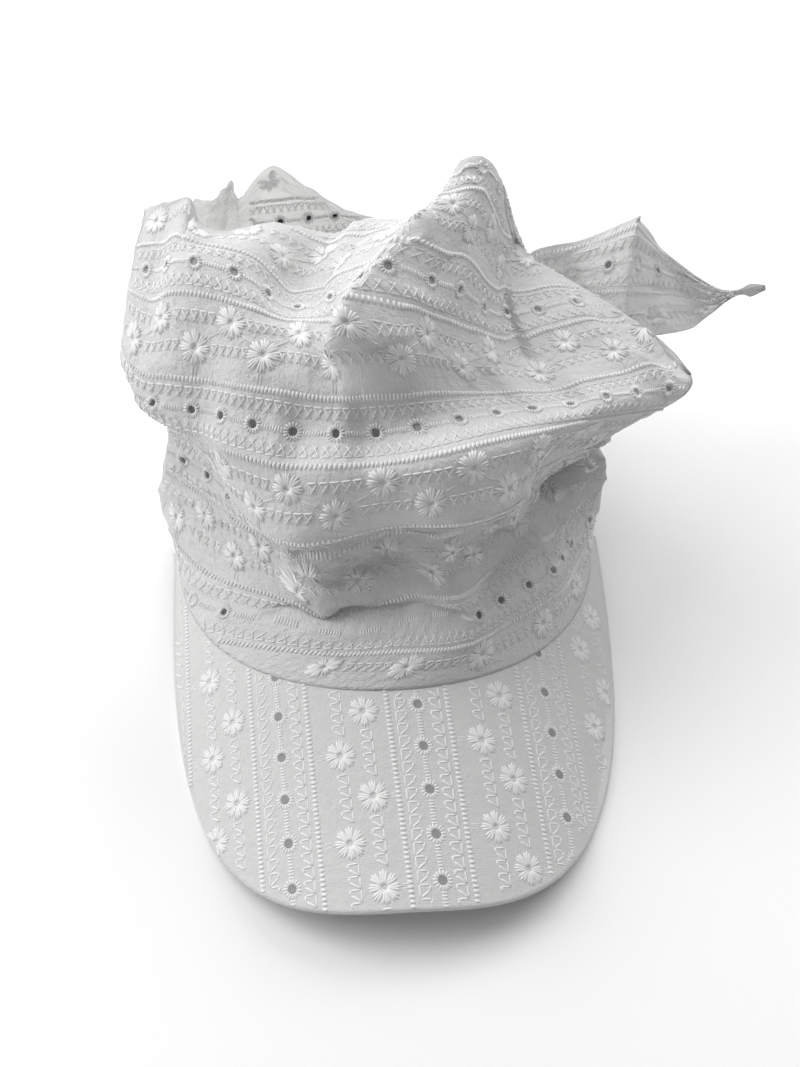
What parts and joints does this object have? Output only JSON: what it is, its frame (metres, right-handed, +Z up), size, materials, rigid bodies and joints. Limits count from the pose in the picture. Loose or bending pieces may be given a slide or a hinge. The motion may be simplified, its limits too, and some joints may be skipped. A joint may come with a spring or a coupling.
{
  "type": "scarf cap",
  "caption": "Soft cotton scarf cap: an arched peak, a tall folded crown of broderie anglaise and two scarf ties behind it.",
  "frame": {"origin": "middle of the footprint of the whole cap, on the surface it rests on", "axes": "+Z up; the peak points towards -Y; +X is to the right of a viewer who faces the peak"},
  "size_m": [0.2632, 0.2522, 0.155],
  "materials": {
    "cotton": "matt white embroidered cotton lawn",
    "brim_cotton": "matt white embroidered cotton over a stiff peak"
  },
  "bodies": {
    "root": {"crown": "cotton", "brim": "brim_cotton", "tie_right": "cotton", "tie_left": "cotton"}
  },
  "joints": []
}
